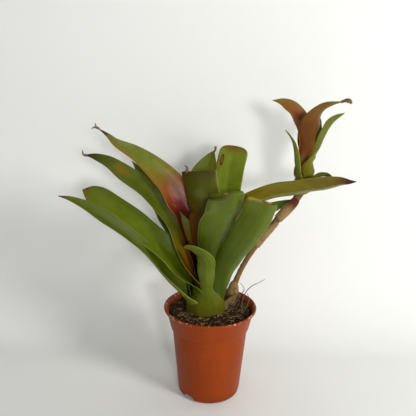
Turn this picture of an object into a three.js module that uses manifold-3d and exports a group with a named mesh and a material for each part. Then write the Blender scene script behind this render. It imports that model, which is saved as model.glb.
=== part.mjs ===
// A potted bromeliad with one pup on a stolon, in millimetres, +Z up.
// The origin is the centre of the pot's underside.
import * as THREE from 'three';
import { mergeVertices } from 'three/addons/utils/BufferGeometryUtils.js';
import Module from 'manifold-3d';

const wasm = await Module();
wasm.setup();

// ---- driving dimensions -------------------------------------------------

const GAP = 0.3;                      // clearance between neighbouring pieces
const SLIVER = 0.05;                  // detail smaller than this is dropped after a cut
const DEG = Math.PI / 180;

const POT = {
  height: 119, rimRadius: 60, rimBand: 3.4, collarTop: 56.4, collarFoot: 51.3, collarHeight: 28,
  bodyTop: 48.9, bodyFoot: 40.8, wall: 1.7, floor: 4.2, padRadius: 30, footInner: 35.5, footGroove: 2.2,
  archCount: 3, archFirst: 229, archWidth: 19, archHeight: 6.5,
};

const SOIL_TOP = 112.5;
const RECESS_FLOOR = 103;             // the crown stem stands in a recess of the mix
const RECESS_HEIGHT = 20;

// The rosette stands left of and behind the pot's centre. Every leaf sheath is
// an arc about this axis, and its base stands on a cone: the crown stem.
const ROSETTE = { x: -6, y: 4, coneTop: 130, slope: 0.75, reach: 28, sheathRun: 18 };
const PUP = { x: 116, y: 30, coneTop: 279, slope: 0.7, reach: 13.8, sheathRun: 6 };

const LEAF_THICKNESS = 1.3;
const PUP_LEAF_THICKNESS = 1.0;
const TIP_CROWDING = 1.35;

// One row per leaf. sheath: azimuth in degrees, radius about the plant's axis
// and half arc in radians. rise: the sheath's second point, as radius and
// height above its base. path: where the blade's midline goes. half: greatest
// half width. cup: half arc of the blade's section, at mid length and at the
// tip. twist: degrees at mid length and at the tip. neck: share of the width
// just above the sheath, and where along the leaf it changes to the full width.
// tip: exponent of the taper and where it starts, 4 or more being blunt, and
// the share of the width left if the end is cut. out: the way the blade's back
// faces, away from the plant if not given. blend: distances along the leaf
// between which the sheath turns into the blade.
const LEAVES = [
  { name: 'leaf_front_short', sheath: [272, 25.4, 1.45], rise: [25.2, 26], half: 12.5, cup: [0.9, 0.6],
    twist: [0, 0], neck: [0.7, 0.25, 0.6], tip: [4, 0.72], out: [0, -1], blend: [8, 40],
    path: [[-6, -29, 174], [-7, -33, 188], [-12, -36, 198], [-22, -37, 206], [-33, -35, 209]] },
  { name: 'leaf_left_low', sheath: [188, 22.6, 1.2], rise: [27.5, 18], half: 12, cup: [1.0, 0.9],
    twist: [30, 45], neck: [1.75, 0.15, 0.5], tip: [1.6, 0.7],
    path: [[-53, -10, 158], [-70, -14, 183], [-92, -20, 209], [-114, -25, 229], [-136, -28, 246],
      [-154, -29, 258], [-168, -30, 265], [-180, -30, 268]] },
  { name: 'leaf_back_right', sheath: [72, 24.8, 1.1], rise: [28, 26], half: 16, cup: [0.7, 0.4],
    twist: [0, 0], neck: [0.8, 0.2, 0.62], tip: [4, 0.8],
    path: [[16, 62, 175], [32, 88, 193], [47, 112, 203], [60, 130, 205]] },
  { name: 'leaf_right_front', sheath: [330, 22.4, 1.1], rise: [22.8, 18], half: 19.5, cup: [0.6, 0.3],
    twist: [55, 60], neck: [0.72, 0.2, 0.62], tip: [10, 0.95],
    path: [[14, -12, 164], [23, -17, 189], [36, -22, 212], [47, -26, 232], [55, -29, 251],
      [60, -30, 267]] },
  { name: 'leaf_left_edge', sheath: [150, 20, 1.1], rise: [24, 30], half: 10, cup: [1.1, 0.8],
    twist: [15, 25], neck: [0.9, 0.2, 0.62], tip: [1.5, 0.5],
    path: [[-50, 25, 199], [-61, 30, 215], [-73, 34, 234], [-84, 37, 249]] },
  { name: 'leaf_left_mid', sheath: [212, 19.8, 1.0], rise: [21, 36], half: 17, cup: [0.6, 0.45],
    twist: [45, 50], neck: [1.35, 0.15, 0.45], tip: [3.2, 0.82],
    path: [[-43, -6, 182], [-63, -5, 201], [-81, -1, 215], [-102, 4, 231], [-128, 10, 246],
      [-150, 14, 260], [-164, 16, 266]] },
  { name: 'leaf_back_low', sheath: [85, 19.6, 0.85], rise: [24, 30], half: 17, cup: [0.7, 0.4],
    twist: [0, 0], neck: [0.8, 0.2, 0.62], tip: [4, 0.8],
    path: [[-8, 60, 179], [-10, 95, 204], [-14, 125, 221], [-16, 150, 223]] },
  { name: 'leaf_right_back', sheath: [40, 17.4, 1.0], rise: [20, 40], half: 13, cup: [0.8, 0.4],
    twist: [-30, -35], neck: [0.8, 0.2, 0.62], tip: [2, 0.6],
    path: [[28, 22, 204], [45, 26, 222], [66, 30, 236], [88, 33, 246], [111, 36, 254]] },
  { name: 'leaf_left_back_short', sheath: [138, 17.4, 0.65], rise: [20, 40], half: 20, cup: [0.7, 0.4],
    twist: [50, 50], neck: [0.9, 0.2, 0.62], tip: [1.8, 0.5],
    path: [[-36, 26, 215], [-49, 32, 235], [-64, 36, 253], [-79, 38, 269], [-93, 40, 285],
      [-105, 42, 300]] },
  { name: 'leaf_left_curl', sheath: [200, 15.2, 1.3], rise: [17, 40], half: 14, cup: [0.8, 0.55],
    twist: [48, 35], neck: [1.8, 0.25, 0.52], tip: [2.2, 0.74],
    path: [[-38, -3, 214], [-51, -1, 235], [-65, 2, 252], [-80, 4, 266], [-96, 6, 279],
      [-113, 6, 291], [-128, 6, 302], [-143, 6, 309], [-156, 6, 312]] },
  { name: 'leaf_right_long', sheath: [15, 15.2, 1.1], rise: [16, 44], half: 15.5, cup: [0.65, 0.6],
    twist: [55, 45], neck: [0.9, 0.2, 0.62], tip: [2.6, 0.8],
    path: [[14, 6, 215], [25, 6, 236], [40, 5, 251], [60, 4, 262], [80, 3, 269], [99, 2, 272],
      [120, 2, 276], [138, 1, 279], [156, 0, 283], [167, -1, 284], [175, -1, 286]] },
  { name: 'leaf_back_small', sheath: [105, 13, 1.0], rise: [15, 50], half: 20, cup: [0.7, 0.4],
    twist: [0, 0], neck: [0.85, 0.2, 0.62], tip: [2.4, 0.72], out: [-0.1, 1], blend: [18, 70],
    path: [[-13, 24, 254], [-11, 32, 281], [-6, 36, 296], [-2, 38, 307], [2, 39, 316]] },
  { name: 'leaf_centre_front', sheath: [285, 13, 1.3], rise: [15, 45], half: 27, cup: [0.55, 0.35],
    twist: [0, -6], neck: [0.48, 0.42, 0.78], tip: [2.0, 0.7, 0.74], out: [0.15, -1], blend: [18, 75],
    path: [[0, -19, 205], [8, -24, 232], [15, -27, 250], [17, -28, 265], [16, -26, 275]] },
  { name: 'leaf_left_high', sheath: [160, 10.8, 1.2], rise: [12, 50], half: 22, cup: [0.75, 0.6],
    twist: [50, 60], neck: [0.85, 0.2, 0.5], tip: [1.25, 0.5],
    path: [[-31, 10, 238], [-43, 12, 257], [-54, 14, 275], [-68, 16, 290], [-85, 18, 304],
      [-101, 20, 315], [-120, 21, 325], [-132, 22, 335], [-143, 22, 343]] },
  { name: 'leaf_back_tall', sheath: [60, 8.6, 1.2], rise: [10, 50], half: 19, cup: [0.5, 0.25],
    twist: [0, 0], neck: [0.8, 0.2, 0.62], tip: [7, 0.88], out: [0.1, 1], blend: [18, 70],
    path: [[17, 14, 249], [18, 22, 268], [21, 28, 286], [25, 34, 305], [29, 40, 322]] },
  { name: 'leaf_centre_dark', sheath: [250, 8.6, 1.2], rise: [10, 40], half: 24, cup: [0.5, 0.35],
    twist: [0, 0], neck: [0.5, 0.3, 0.7], tip: [14, 0.97], out: [-0.2, -1], blend: [18, 75],
    path: [[-8, -8, 232], [-11, -9, 253], [-14, -9, 270], [-17, -9, 284], [-19, -9, 297]] },
];

const PUP_LEAVES = [
  { name: 'pup_bract', sheath: [300, 13.2, 1.0], rise: [14.6, 7], half: 9, cup: [0.9, 0.6],
    twist: [15, 25], neck: [0.9, 0.2, 0.62], tip: [2, 0.4], blend: [4, 12],
    path: [[132, 13, 288], [142, 12, 290], [151, 11, 287]] },
  { name: 'pup_leaf_left_low', sheath: [222, 12.2, 1.0], rise: [13.2, 14], half: 10.5, cup: [1.0, 0.7],
    twist: [0, 0], neck: [0.9, 0.2, 0.62], tip: [1.6, 0.4], blend: [5, 14],
    path: [[103, 21, 308], [101, 21, 323], [96, 21, 336], [89, 21, 345]] },
  { name: 'pup_leaf_right_low', sheath: [290, 9.4, 1.2], rise: [10.4, 12], half: 13, cup: [0.7, 0.4],
    twist: [0, 0], neck: [0.9, 0.2, 0.62], tip: [1.3, 0.3], out: [0.3, -1], blend: [4, 12],
    path: [[120, 17, 301], [124, 15, 311], [127, 13, 321]] },
  { name: 'pup_leaf_right', sheath: [10, 9.2, 1.2], rise: [10, 18], half: 13, cup: [0.8, 0.5],
    twist: [30, 40], neck: [0.9, 0.2, 0.62], tip: [2.2, 0.65],
    path: [[128, 31, 308], [135, 32, 324], [142, 34, 341], [150, 35, 355], [164, 36, 366]] },
  { name: 'pup_leaf_back', sheath: [90, 6.4, 1.0], rise: [8, 20], half: 13, cup: [0.6, 0.4],
    twist: [0, 0], neck: [0.8, 0.2, 0.62], tip: [1.8, 0.6],
    path: [[125, 46, 318], [131, 52, 335], [136, 58, 350], [140, 66, 359]] },
  { name: 'pup_leaf_centre', sheath: [255, 6.4, 1.2], rise: [7, 18], half: 19, cup: [0.7, 0.6],
    twist: [0, -10], neck: [0.6, 0.3, 0.62], tip: [1.5, 0.6], out: [0.25, -1], blend: [4, 14],
    path: [[119, 23, 313], [119, 21, 332], [122, 20, 348], [126.5, 19, 361.5], [133, 17.5, 370.5],
      [143, 15, 376.5], [156, 11, 381]] },
  { name: 'pup_leaf_left', sheath: [200, 4.2, 1.0], rise: [5, 18], half: 17, cup: [0.55, 0.4],
    twist: [25, 50], neck: [0.75, 0.2, 0.62], tip: [1.6, 0.55],
    path: [[114, 31, 323], [112, 32, 340], [108, 33, 355], [99, 34, 369], [87, 35, 377],
      [73, 36, 380]] },
];

const LEAF_COLOURS = {
  leaf_left_low: '#3e4a12', leaf_left_mid: '#5f6a1c', leaf_left_curl: '#4b4e1f',
  leaf_left_high: '#6e4a1e', leaf_centre_dark: '#44300c', leaf_centre_front: '#45521a',
  leaf_back_tall: '#737f2a', leaf_right_front: '#3f4d10', leaf_right_long: '#66601a',
  leaf_front_short: '#565c22', pup_leaf_centre: '#66401a', pup_leaf_left: '#7a4a1e',
  pup_leaf_back: '#5c3f1c',
};
const PLAIN_LEAF = '#566420';

// Stems and roots: a midline and the radius at each of its points.
const STOLON = {
  path: [[26, 15, 112], [29, 16, 128], [35, 17, 150], [46, 19, 174], [63, 21, 201], [82, 24, 225],
    [98, 27, 243], [108, 29, 255], [114, 30, 264]],
  radii: [4.6, 4.0, 3.5, 3.4, 3.6, 3.9, 4.3, 4.6, 4.8],
  steps: 14,
  sides: 8,
};

// Papery scales wrapped round the stolon: from, to (share of its length), radii.
const SCALES = [
  { name: 'stolon_scale_foot', from: 0.03, to: 0.2, radii: [6.6, 7.4, 5.8], arc: 2.2, facing: 250 },
  { name: 'stolon_scale_middle', from: 0.5, to: 0.73, radii: [4.9, 5.6, 5.2], arc: 2.2, facing: 300 },
  { name: 'stolon_scale_upper', from: 0.75, to: 0.95, radii: [5.5, 6.6, 6.4], arc: 2.2, facing: 270 },
];

const DRY_BASE = {
  path: [[20, 0, 110.5], [24, 1, 121], [31, 2, 129], [35, 2, 134]],
  halves: [8, 7, 5, 2], arc: 0.9, facing: [0.7, -0.7],
};

const ROOT = { radius: 0.7, steps: 8, sides: 6 };
const ROOTS = [
  { name: 'root_loop', path: [[32, 12, 112], [39, 10, 128], [44, 9, 136], [43, 8, 142], [38, 7, 148]] },
  { name: 'root_hook', path: [[30, 8, 112], [34, 7, 126], [38, 6, 132], [36, 5, 137], [33, 4, 140]] },
  { name: 'root_long', path: [[42, 14, 112], [44, 13, 124], [48, 12, 134], [55, 11, 142], [63, 10, 147],
    [71, 10, 152]] },
  { name: 'root_short', path: [[47, 6, 112], [50, 6, 120], [51, 5, 127], [48, 5, 134]] },
];

// ---- helpers ------------------------------------------------------------

function vec(point) {
  return new THREE.Vector3(point[0], point[1], point[2]);
}

function smooth(from, to, x) {
  const t = THREE.MathUtils.clamp((x - from) / (to - from), 0, 1);
  return t * t * (3 - 2 * t);
}

// Stations on a smooth curve, with the tangent at each. They are evenly spaced
// at a crowding of 1 and gather towards the far end above it.
function stations(points, count, crowding = 1) {
  const curve = new THREE.CatmullRomCurve3(points, false, 'catmullrom', 0.5);
  const length = curve.getLength();
  const rows = [];
  for (let i = 0; i <= count; i++) {
    const t = 1 - (1 - i / count) ** crowding;
    rows.push({ t, s: t * length, at: curve.getPointAt(t), along: curve.getTangentAt(t) });
  }
  return rows;
}

// A closed geometry through rings of the same even number of points. In each
// ring point i faces point n - 1 - i, so the end caps are strips between pairs.
function loft(rings) {
  const n = rings[0].length;
  const faces = [];
  for (let r = 0; r < rings.length - 1; r++) {
    for (let i = 0; i < n; i++) {
      const a = r * n + i;
      const b = r * n + ((i + 1) % n);
      faces.push(a, b, b + n, a, b + n, a + n);
    }
  }
  const last = (rings.length - 1) * n;
  for (let i = 0; i < n / 2 - 1; i++) {
    const j = n - 1 - i;
    faces.push(i, j, j - 1, i, j - 1, i + 1);
    faces.push(last + i, last + j - 1, last + j, last + i, last + i + 1, last + j - 1);
  }
  const geometry = new THREE.BufferGeometry().setFromPoints(rings.flat());
  geometry.setIndex(faces);
  return geometry;
}

// The solid inside a closed geometry, whichever way its faces are wound.
function solidOf(geometry) {
  geometry.deleteAttribute('normal');
  geometry.deleteAttribute('uv');
  const merged = mergeVertices(geometry);
  const index = merged.index.array;
  const faces = [];
  for (let i = 0; i < index.length; i += 3) {
    const [a, b, c] = [index[i], index[i + 1], index[i + 2]];
    if (a !== b && b !== c && c !== a) {
      faces.push([a, b, c]);
    }
  }
  const vertices = Float32Array.from(merged.attributes.position.array);
  const solid = manifoldFrom(vertices, faces);
  return solid.volume() > 0 ? solid : manifoldFrom(vertices, faces.map(([a, b, c]) => [a, c, b]));
}

function manifoldFrom(vertProperties, faces) {
  const triVerts = Uint32Array.from(faces.flat());
  return new wasm.Manifold(new wasm.Mesh({ numProp: 3, vertProperties, triVerts }));
}

// The largest body left after cutting, without the slivers of the cut.
function largest(solid) {
  const bodies = solid.decompose();
  bodies.sort((a, b) => b.volume() - a.volume());
  return bodies[0].simplify(SLIVER);
}

function meshFrom(name, solid, colour, roughness) {
  const raw = solid.getMesh();
  const geometry = new THREE.BufferGeometry();
  geometry.setAttribute('position', new THREE.BufferAttribute(Float32Array.from(raw.vertProperties), 3));
  geometry.setIndex(new THREE.BufferAttribute(Uint32Array.from(raw.triVerts), 1));
  geometry.computeVertexNormals();
  const material = new THREE.MeshStandardMaterial({ color: colour, roughness, metalness: 0 });
  const mesh = new THREE.Mesh(geometry, material);
  mesh.name = name;
  return mesh;
}

// A solid of revolution from [radius, height] pairs, moved to x, y.
function turned(profile, segments, x = 0, y = 0) {
  const points = profile.map(([radius, height]) => new THREE.Vector2(radius, height));
  const geometry = new THREE.LatheGeometry(points, segments);
  geometry.rotateX(Math.PI / 2);
  geometry.translate(x, y, 0);
  return solidOf(geometry);
}

// ---- leaves -------------------------------------------------------------

// The stem cone's height at a sheath's radius.
function baseHeight(plant, radius) {
  return plant.coneTop - plant.slope * radius;
}

function leafPath(plant, leaf) {
  const [azimuth, radius] = leaf.sheath;
  const [riseRadius, riseHeight] = leaf.rise;
  const cos = Math.cos(azimuth * DEG);
  const sin = Math.sin(azimuth * DEG);
  const foot = baseHeight(plant, radius);
  const points = [
    [plant.x + radius * cos, plant.y + radius * sin, foot],
    [plant.x + riseRadius * cos, plant.y + riseRadius * sin, foot + riseHeight],
    ...leaf.path,
  ];
  return points.map(vec);
}

// A value that starts at zero and passes the mid and tip values.
function along(mid, tip, t) {
  return t < 0.4 ? mid * smooth(0, 0.4, t) : mid + (tip - mid) * smooth(0.4, 1, t);
}

// The share of the full width left at t, for a pointed or a blunt tip.
function taper([power, start, end], t) {
  if (t <= start) {
    return 1;
  }
  const q = (t - start) / (1 - start);
  if (end) {
    return 1 - (1 - end) * q ** power;
  }
  return power >= 4 ? Math.sqrt(Math.max(1 - q ** power, 0)) : 1 - q ** power;
}

// The leaf's rings. Each is an arc about the plant's axis in the sheath, and a
// shallower arc of its own in the blade; grow thickens it on every side.
function leafRings(plant, leaf, size, grow) {
  const [azimuth, sheathRadius, sheathArc] = leaf.sheath;
  const [blendStart, blendEnd] = leaf.blend ?? [plant.sheathRun, plant.sheathRun * 2.5];
  const path = leafPath(plant, leaf);
  const rows = stations(path, size.steps, TIP_CROWDING);
  const radial = new THREE.Vector3(Math.cos(azimuth * DEG), Math.sin(azimuth * DEG), 0);
  const middle = stations(path, 12, TIP_CROWDING)[4].at;
  const reach = rows[size.steps].at.clone().add(middle).multiplyScalar(0.5).sub(rows[0].at);
  const outward = leaf.out ? new THREE.Vector3(leaf.out[0], leaf.out[1], 0) : reach.setZ(0);
  outward.normalize();
  return rows.map(({ t, s, at, along: tangent }) => {
    const mix = smooth(blendStart, blendEnd * 1.6, s);
    const open = smooth(blendStart, blendEnd, s);
    const hint = radial.clone().lerp(outward, mix).multiplyScalar(-0.6);
    hint.z += mix;
    const face = hint.addScaledVector(tangent, -hint.dot(tangent)).normalize();
    const turn = -along(leaf.twist[0], leaf.twist[1], t) * DEG;
    face.applyAxisAngle(tangent, turn);
    const side = tangent.clone().cross(face);
    const [midArc, tipArc] = leaf.cup;
    const arc = sheathArc + (midArc - sheathArc) * open + (tipArc - midArc) * smooth(0.45, 1, t);
    const [share, from, to] = leaf.neck;
    const blade = leaf.half * (share + (1 - share) * smooth(from, to, t));
    const full = sheathRadius * sheathArc * (1 - open) + blade * open;
    const half = Math.max(full * taper(leaf.tip, t), 0.6) + grow;
    return arcRing(at, side, face, half, half / arc, size, grow);
  });
}

// One ring: an arc of the given half width and radius, with a thin edge.
function arcRing(at, side, face, half, radius, size, grow) {
  const upper = [];
  const lower = [];
  for (let i = 0; i <= size.across; i++) {
    const v = (2 * i) / size.across - 1;
    const angle = (half / radius) * v;
    const lift = size.thickness * 0.5 * (0.22 + 0.78 * Math.sqrt(1 - v * v)) + grow;
    const middle = at.clone()
      .addScaledVector(side, radius * Math.sin(angle))
      .addScaledVector(face, radius * (1 - Math.cos(angle)));
    const normal = face.clone().multiplyScalar(Math.cos(angle)).addScaledVector(side, -Math.sin(angle));
    upper.push(middle.clone().addScaledVector(normal, lift));
    lower.push(middle.clone().addScaledVector(normal, -lift));
  }
  return [...upper, ...lower.reverse()];
}

// Leaves of one plant. Each is cut clear of those already made.
function growLeaves(plant, leaves, size, cutters) {
  return leaves.map((leaf) => {
    let solid = solidOf(loft(leafRings(plant, leaf, size, 0)));
    for (const cutter of cutters) {
      solid = solid.subtract(cutter);
    }
    cutters.push(solidOf(loft(leafRings(plant, leaf, size, GAP))));
    return meshFrom(leaf.name, largest(solid), LEAF_COLOURS[leaf.name] ?? PLAIN_LEAF, 0.5);
  });
}

// ---- stems, scales and roots --------------------------------------------

// The cone the sheaths stand on, with a rounded underside.
function stemCone(plant, footRadius, footHeight) {
  const coneDrop = 1.0;
  const tipRadius = 3;
  const rim = baseHeight(plant, plant.reach) - coneDrop;
  const tip = baseHeight(plant, tipRadius) - coneDrop;
  const profile = [[0, footHeight], [footRadius, footHeight], [plant.reach, rim - 1.2], [plant.reach, rim],
    [tipRadius, tip], [0, tip]];
  return turned(profile, 24, plant.x, plant.y);
}

// A value part of the way along a list of evenly spaced values.
function spread(values, t) {
  const place = t * (values.length - 1);
  const k = Math.min(Math.floor(place), values.length - 2);
  return values[k] + (values[k + 1] - values[k]) * (place - k);
}

// The stolon: a round rod with the radius changing along it.
function stolonSolid(grow) {
  let side = new THREE.Vector3(1, 0, 0);
  const rows = stations(STOLON.path.map(vec), STOLON.steps);
  return solidOf(loft(rows.map(({ t, at, along: tangent }) => {
    side = side.clone().addScaledVector(tangent, -side.dot(tangent)).normalize();
    const up = tangent.clone().cross(side);
    const radius = spread(STOLON.radii, t) + grow;
    const ring = [];
    for (let i = 0; i < STOLON.sides; i++) {
      const angle = (2 * Math.PI * (i + 0.5)) / STOLON.sides;
      ring.push(at.clone()
        .addScaledVector(side, radius * Math.cos(angle))
        .addScaledVector(up, radius * Math.sin(angle)));
    }
    return ring;
  })));
}

// An aerial root: a thin round section along a curve.
function rootSolid(points) {
  const corners = [];
  for (let i = 0; i < ROOT.sides; i++) {
    const angle = (2 * Math.PI * i) / ROOT.sides;
    corners.push(new THREE.Vector2(ROOT.radius * Math.cos(angle), ROOT.radius * Math.sin(angle)));
  }
  const extrudePath = new THREE.CatmullRomCurve3(points.map(vec), false, 'catmullrom', 0.5);
  const section = new THREE.Shape(corners);
  return solidOf(new THREE.ExtrudeGeometry(section, { steps: ROOT.steps, extrudePath }));
}

// A papery scale: part of a thin sleeve round the stolon, narrowing at its end.
function scaleSolid(scale) {
  const steps = 5;
  const rows = stations(STOLON.path.map(vec), 60);
  const size = { across: 6, thickness: 0.9 };
  const rings = [];
  for (let i = 0; i <= steps; i++) {
    const share = i / steps;
    const row = rows[Math.round((scale.from + (scale.to - scale.from) * share) * 60)];
    const radius = spread(scale.radii, share);
    const angle = scale.facing * DEG;
    const out = new THREE.Vector3(Math.cos(angle), Math.sin(angle), 0);
    out.addScaledVector(row.along, -out.dot(row.along)).normalize();
    const face = out.clone().negate();
    const side = row.along.clone().cross(face);
    const middle = row.at.clone().addScaledVector(out, radius);
    const half = radius * scale.arc * (1 - 0.75 * share * share);
    rings.push(arcRing(middle, side, face, half, radius, size, 0));
  }
  return solidOf(loft(rings));
}

// The stub of an old dry leaf at the foot of the rosette.
function dryBaseSolid() {
  const steps = 6;
  const size = { across: 4, thickness: 1.1 };
  const rows = stations(DRY_BASE.path.map(vec), steps);
  return solidOf(loft(rows.map(({ t, at, along: tangent }) => {
    const out = new THREE.Vector3(DRY_BASE.facing[0], DRY_BASE.facing[1], 0);
    const face = out.addScaledVector(tangent, -out.dot(tangent)).normalize().negate();
    const side = tangent.clone().cross(face);
    const half = spread(DRY_BASE.halves, t);
    return arcRing(at, side, face, half, half / DRY_BASE.arc, size, 0);
  })));
}

// ---- pot and potting mix ------------------------------------------------

function potSolid() {
  const p = POT;
  const step = p.height - p.collarHeight;
  const profile = [
    [0, 0], [p.padRadius, 0], [p.padRadius + 1, p.footGroove], [p.footInner, p.footGroove],
    [p.footInner + 0.8, 0], [p.bodyFoot - 1.4, 0], [p.bodyFoot, 2.2],
    [p.bodyTop, step - 0.6], [p.collarFoot, step], [p.collarTop, p.height - p.rimBand - 1],
    [p.rimRadius, p.height - p.rimBand], [p.rimRadius, p.height - 0.7], [p.rimRadius - 0.8, p.height],
    [p.rimRadius - 2, p.height], [p.collarTop - p.wall, p.height - p.rimBand - 1.2],
    [p.collarFoot - p.wall, step + 0.6], [p.bodyTop - p.wall, step - 1.2],
    [p.bodyFoot - p.wall + 0.3, p.floor], [0, p.floor],
  ];
  let pot = turned(profile, 44);
  for (let i = 0; i < p.archCount; i++) {
    pot = pot.subtract(footArch(p.archFirst + (360 / p.archCount) * i));
  }
  return pot;
}

// A round-topped drainage opening through the foot and the lowest wall.
function footArch(azimuth) {
  const outline = [[-0.5, -1], [0.5, -1], [0.5, 0.45], [0.38, 0.78], [0.15, 1], [-0.15, 1], [-0.38, 0.78],
    [-0.5, 0.45]].map(([x, y]) => [x * POT.archWidth, y * POT.archHeight]);
  const inner = POT.footInner - 2;
  const outer = POT.bodyFoot + 6;
  const shape = new THREE.Shape(outline.map(([x, y]) => new THREE.Vector2(x, y)));
  const geometry = new THREE.ExtrudeGeometry(shape, { depth: outer - inner, bevelEnabled: false });
  geometry.rotateX(Math.PI / 2);
  geometry.rotateZ(Math.PI / 2);
  geometry.translate(inner, 0, 0);
  geometry.rotateZ(azimuth * DEG);
  return solidOf(geometry);
}

// The potting mix, with a recess for the crown stem.
function soilSolid() {
  const p = POT;
  const step = p.height - p.collarHeight;
  const inset = p.wall + GAP + 0.1;
  const profile = [
    [0, p.floor + GAP], [p.bodyFoot - inset, p.floor + GAP + 0.2], [p.bodyTop - inset, step - 1.4],
    [p.collarFoot - inset, step + 0.8], [p.collarTop - inset - 0.4, SOIL_TOP - 1],
    [48, SOIL_TOP], [0, SOIL_TOP],
  ];
  const recessRadius = ROSETTE.reach + 1.2;
  const recess = new THREE.CylinderGeometry(recessRadius, recessRadius, RECESS_HEIGHT, 32);
  recess.rotateX(Math.PI / 2);
  recess.translate(ROSETTE.x, ROSETTE.y, RECESS_FLOOR + RECESS_HEIGHT / 2);
  return turned(profile, 36).subtract(solidOf(recess));
}

// ---- assembly -----------------------------------------------------------

function build() {
  const group = new THREE.Group();
  group.name = 'potted_bromeliad';
  const leafSize = { steps: 12, across: 6, thickness: LEAF_THICKNESS };
  const pupSize = { steps: 9, across: 4, thickness: PUP_LEAF_THICKNESS };

  const soil = soilSolid();
  const stolonCutter = stolonSolid(GAP);
  const crown = stemCone(ROSETTE, 24, 103.4);
  const cutters = [soil.translate([0, 0, GAP]), crown.translate([0, 0, GAP])];
  group.add(meshFrom('pot', potSolid(), '#93380a', 0.45));
  group.add(meshFrom('potting_mix', soil, '#3a2c20', 0.95));
  group.add(meshFrom('crown_stem', crown, '#6b5a3a', 0.8));
  group.add(trimmed('stolon', stolonSolid(0), cutters, '#8a6a42', 0.7));
  cutters.push(stolonCutter);
  group.add(...growLeaves(ROSETTE, LEAVES, leafSize, cutters));

  const pupStem = stemCone(PUP, 5, 263.5);
  group.add(trimmed('pup_stem', pupStem, cutters, '#7a5a3a', 0.8));
  cutters.push(pupStem.translate([0, 0, GAP]));
  group.add(...growLeaves(PUP, PUP_LEAVES, pupSize, cutters));

  for (const scale of SCALES) {
    group.add(trimmed(scale.name, scaleSolid(scale), cutters, '#9a7a4c', 0.8));
  }
  group.add(trimmed('dry_leaf_base', dryBaseSolid(), cutters, '#7b5c3a', 0.85));
  for (const root of ROOTS) {
    group.add(trimmed(root.name, rootSolid(root.path), cutters, '#5a4634', 0.8));
  }
  return group;
}

function trimmed(name, solid, cutters, colour, roughness) {
  let piece = solid;
  for (const cutter of cutters) {
    piece = piece.subtract(cutter);
  }
  return meshFrom(name, largest(piece), colour, roughness);
}

export default build();
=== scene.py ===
"""A potted bromeliad with one pup: looks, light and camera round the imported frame."""
import math
import random

import bmesh
import bpy
from mathutils import Matrix, Vector, noise


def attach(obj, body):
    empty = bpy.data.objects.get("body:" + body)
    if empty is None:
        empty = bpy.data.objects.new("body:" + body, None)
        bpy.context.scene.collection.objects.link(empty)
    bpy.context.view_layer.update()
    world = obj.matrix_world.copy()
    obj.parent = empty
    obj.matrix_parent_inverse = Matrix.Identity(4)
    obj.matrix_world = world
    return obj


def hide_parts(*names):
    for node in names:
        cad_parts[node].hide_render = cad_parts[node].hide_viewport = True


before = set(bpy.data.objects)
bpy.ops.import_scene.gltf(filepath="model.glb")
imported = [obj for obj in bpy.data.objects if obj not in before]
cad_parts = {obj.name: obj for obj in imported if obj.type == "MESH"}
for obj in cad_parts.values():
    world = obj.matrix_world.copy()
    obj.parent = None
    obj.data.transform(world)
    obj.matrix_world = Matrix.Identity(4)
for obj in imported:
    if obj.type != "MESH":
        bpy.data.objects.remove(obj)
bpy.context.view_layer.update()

MM = 0.001
UP = Vector((0, 0, 1))

# ---- driving dimensions, in millimetres, the same as in the CAD --------------

ROSETTE = {"x": -6, "y": 4, "cone_top": 130, "slope": 0.75, "run": 18}
PUP = {"x": 116, "y": 30, "cone_top": 279, "slope": 0.7, "run": 6}
TIP_CROWDING = 1.35

POT_HEIGHT, RIM_RADIUS, RIM_BAND = 119, 60, 3.4
COLLAR_TOP, COLLAR_FOOT, COLLAR_HEIGHT = 56.4, 51.3, 28
BODY_TOP, BODY_FOOT, WALL, FLOOR = 48.9, 40.8, 1.7, 4.2
ARCH_FIRST, ARCH_WIDTH, ARCH_HEIGHT = 229, 19, 6.5
SOIL_TOP, SOIL_RADIUS, SOIL_RINGS, SOIL_SEGMENTS = 112.5, 54.2, 56, 150
SOIL_SIDE = [(54.2, 106), (49.2, 92), (46.8, 89.6), (38.7, 4.7)]
BULB_RADIUS, LOOSE_RADIUS, STRAND_LIMIT = 24.5, 53.5, 53
RANDOM_TURN = 6.28
LEAF_THICKNESS, PUP_LEAF_THICKNESS, LEAF_EDGE_SHARE = 1.3, 1.0, 0.16
SCALE_STEPS, STOLON_STATIONS = 24, 200

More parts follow.
